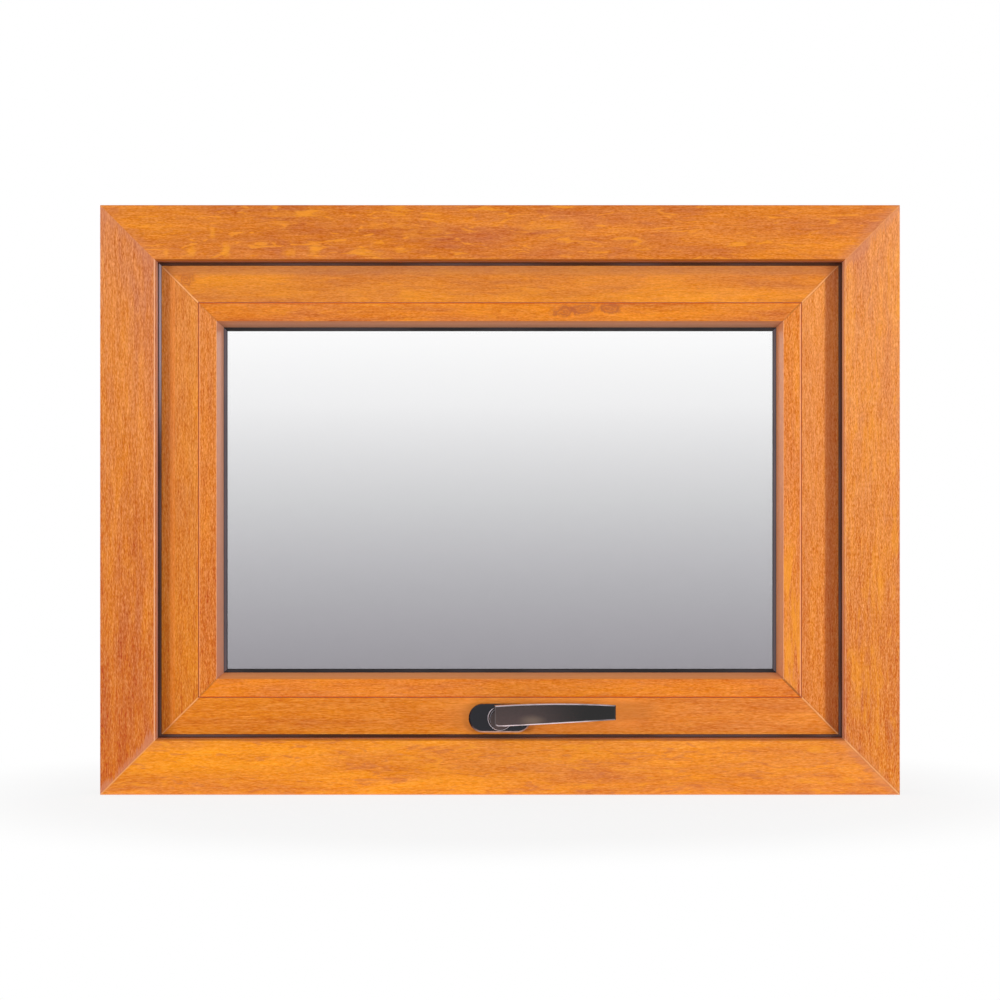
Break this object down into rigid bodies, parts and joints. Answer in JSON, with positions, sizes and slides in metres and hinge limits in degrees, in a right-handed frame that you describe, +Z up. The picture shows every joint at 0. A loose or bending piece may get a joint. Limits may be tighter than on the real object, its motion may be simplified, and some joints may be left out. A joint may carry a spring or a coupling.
{
  "type": "awning window",
  "caption": "Top-hung awning window, shut: mitred wood-grain plastic frame and sash, bevelled glazing beads, sealed glass unit and a black lever handle on the bottom rail.",
  "frame": {"origin": "centre of the frame's bottom face, at half its depth", "axes": "+X along the sill, to the right as seen from the room; +Y from the room to the outside; +Z up"},
  "size_m": [0.8, 0.1015, 0.59],
  "materials": {
    "oak_foil": "golden-oak wood-grain foil on plastic, satin",
    "seal_rubber": "black rubber seal",
    "clear_glass": "clear float glass",
    "black_handle": "gloss black paint on die-cast metal",
    "spacer_metal": "mill-finish aluminium",
    "edge_sealant": "dark sealant",
    "packer_plastic": "moulded plastic packer",
    "zinc_steel": "zinc-plated steel",
    "stainless_stay": "stainless steel strip",
    "brown_plastic": "moulded caramel plastic"
  },
  "bodies": {
    "window": {"frame_head": "oak_foil", "frame_sill": "oak_foil", "frame_left_jamb": "oak_foil", "frame_right_jamb": "oak_foil", "frame_gasket": "seal_rubber", "drain_caps": "brown_plastic", "sash_top_rail": "oak_foil", "sash_bottom_rail": "oak_foil", "sash_left_stile": "oak_foil", "sash_right_stile": "oak_foil", "sash_gasket": "seal_rubber", "bead_top": "oak_foil", "bead_bottom": "oak_foil", "bead_left": "oak_foil", "bead_right": "oak_foil", "inner_glazing_gasket": "seal_rubber", "outer_glazing_gasket": "seal_rubber", "inner_pane": "clear_glass", "outer_pane": "clear_glass", "spacer_bar": "spacer_metal", "edge_seal": "edge_sealant", "setting_blocks": "packer_plastic", "handle_base": "zinc_steel", "handle_rose": "black_handle", "handle_screws": "zinc_steel", "lock_gearbox": "zinc_steel", "lock_faceplate": "zinc_steel", "lock_rod": "zinc_steel", "sill_keeps": "zinc_steel", "left_stay_track": "stainless_stay", "left_stay_sash_bar": "stainless_stay", "left_stay_long_arm": "stainless_stay", "left_stay_short_arm": "stainless_stay", "right_stay_track": "stainless_stay", "right_stay_sash_bar": "stainless_stay", "right_stay_long_arm": "stainless_stay", "right_stay_short_arm": "stainless_stay"},
    "lever": {"handle_lever": "black_handle", "handle_spindle": "zinc_steel"}
  },
  "joints": [
    {"name": "handle_turn", "type": "hinge", "parent": "window", "child": "lever", "pos_m": [0, -0.0195, 0.076], "axis": [0, -1, 0], "range_deg": [0, 90]}
  ]
}
